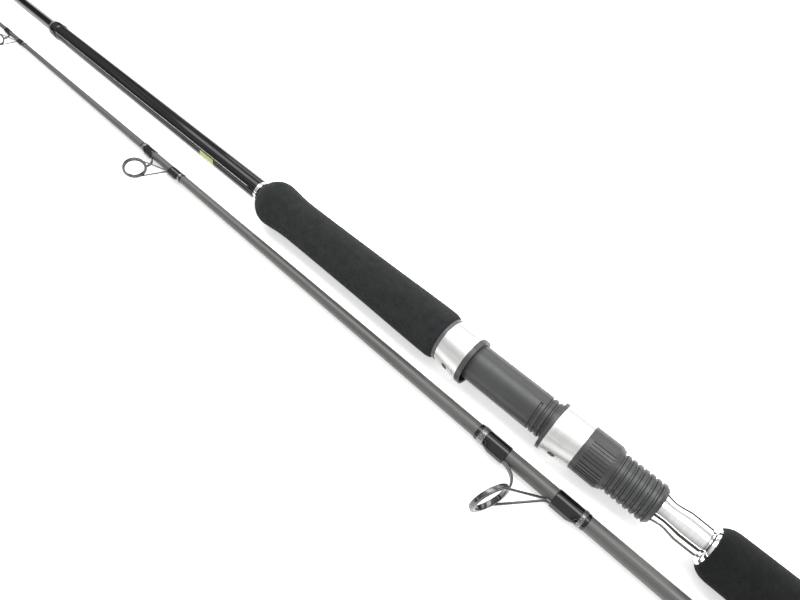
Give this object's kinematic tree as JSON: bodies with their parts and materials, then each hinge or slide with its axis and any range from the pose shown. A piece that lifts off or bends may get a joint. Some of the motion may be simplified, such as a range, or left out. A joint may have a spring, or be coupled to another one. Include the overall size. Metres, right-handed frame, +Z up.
{
  "type": "two-section fishing rod",
  "caption": "Two-section spinning rod taken apart, with foam grips, a screw-locking pipe reel seat, a put-over ferrule and ceramic-lined line guides.",
  "frame": {"origin": "centre of the two sections' common footprint, on the ground", "axes": "+X along both sections toward the tip, +Y from the butt section toward the tip section, +Z up"},
  "size_m": [1.5278, 0.0934, 0.037],
  "materials": {
    "blank_gloss": "clear-coated black fibre composite",
    "blank_graphite": "satin graphite fibre composite",
    "cap_rubber": "moulded rubber",
    "grip_foam_dark": "closed-cell foam, ground",
    "grip_foam": "closed-cell foam, ground",
    "polished_metal": "polished",
    "seat_plastic": "glass-filled nylon, satin",
    "hood_metal": "satin",
    "arbor_foam": "rigid foam",
    "trim_plastic": "satin",
    "wrap_thread": "black winding thread under gloss epoxy",
    "check_metal": "bright",
    "metallic_thread": "silver winding thread under gloss epoxy",
    "ring_steel": "spring steel",
    "guide_metal": "dark gunmetal plating",
    "guide_ceramic": "polished ceramic"
  },
  "bodies": {
    "butt_section": {"butt_blank": "blank_gloss", "butt_cap": "cap_rubber", "rear_grip": "grip_foam_dark", "seat_end_sleeve": "polished_metal", "seat_barrel": "seat_plastic", "fixed_hood_shell": "hood_metal", "seat_arbor_rear": "arbor_foam", "seat_arbor_front": "arbor_foam", "front_trim_ring": "trim_plastic", "foregrip": "grip_foam", "check_wrap": "wrap_thread", "winding_check": "check_metal", "stop_wrap": "wrap_thread", "stop_trim": "metallic_thread"},
    "movable_hood": {"movable_hood_insert": "seat_plastic", "movable_hood_shell": "hood_metal", "retaining_ring": "ring_steel"},
    "lock_nut": {"lock_nut": "seat_plastic"},
    "tip_section": {"tip_blank": "blank_graphite", "socket_wrap": "wrap_thread", "socket_trim": "metallic_thread", "tip_top_frame": "guide_metal", "tip_top_ring": "guide_ceramic", "tip_top_wrap": "wrap_thread", "guide_1_frame": "guide_metal", "guide_1_ring": "guide_ceramic", "guide_1_front_wrap": "wrap_thread", "guide_1_rear_wrap": "wrap_thread", "guide_1_trim_front": "metallic_thread", "guide_1_trim_rear": "metallic_thread", "guide_2_frame": "guide_metal", "guide_2_ring": "guide_ceramic", "guide_2_front_wrap": "wrap_thread", "guide_2_rear_wrap": "wrap_thread", "guide_2_trim_front": "metallic_thread", "guide_2_trim_rear": "metallic_thread", "guide_3_frame": "guide_metal", "guide_3_ring": "guide_ceramic", "guide_3_front_wrap": "wrap_thread", "guide_3_rear_wrap": "wrap_thread", "guide_3_trim_front": "metallic_thread", "guide_3_trim_rear": "metallic_thread", "guide_4_frame": "guide_metal", "guide_4_ring": "guide_ceramic", "guide_4_front_wrap": "wrap_thread", "guide_4_rear_wrap": "wrap_thread", "guide_4_trim_front": "metallic_thread", "guide_4_trim_rear": "metallic_thread", "guide_5_frame": "guide_metal", "guide_5_ring": "guide_ceramic", "guide_5_front_wrap": "wrap_thread", "guide_5_rear_wrap": "wrap_thread", "guide_5_trim_front": "metallic_thread", "guide_5_trim_rear": "metallic_thread"}
  },
  "joints": [
    {"name": "hood_slide", "type": "slide", "parent": "butt_section", "child": "movable_hood", "axis": [1, 0, 0], "range_m": [-0.0241, 0.0201]},
    {"name": "nut_spin", "type": "hinge", "parent": "movable_hood", "child": "lock_nut", "pos_m": [-0.26193, -0.02818, 0.0185], "axis": [1, 0, 0], "range_deg": [-2160, 1800]},
    {"name": "tip_section_slide", "type": "slide", "parent": "butt_section", "child": "tip_section", "axis": [1, 0, 0], "range_m": [-0.1, 0.1]}
  ],
  "couplings": [
    {"joint": "hood_slide", "follows": "nut_spin", "m_per_rad": 0.00063662}
  ]
}
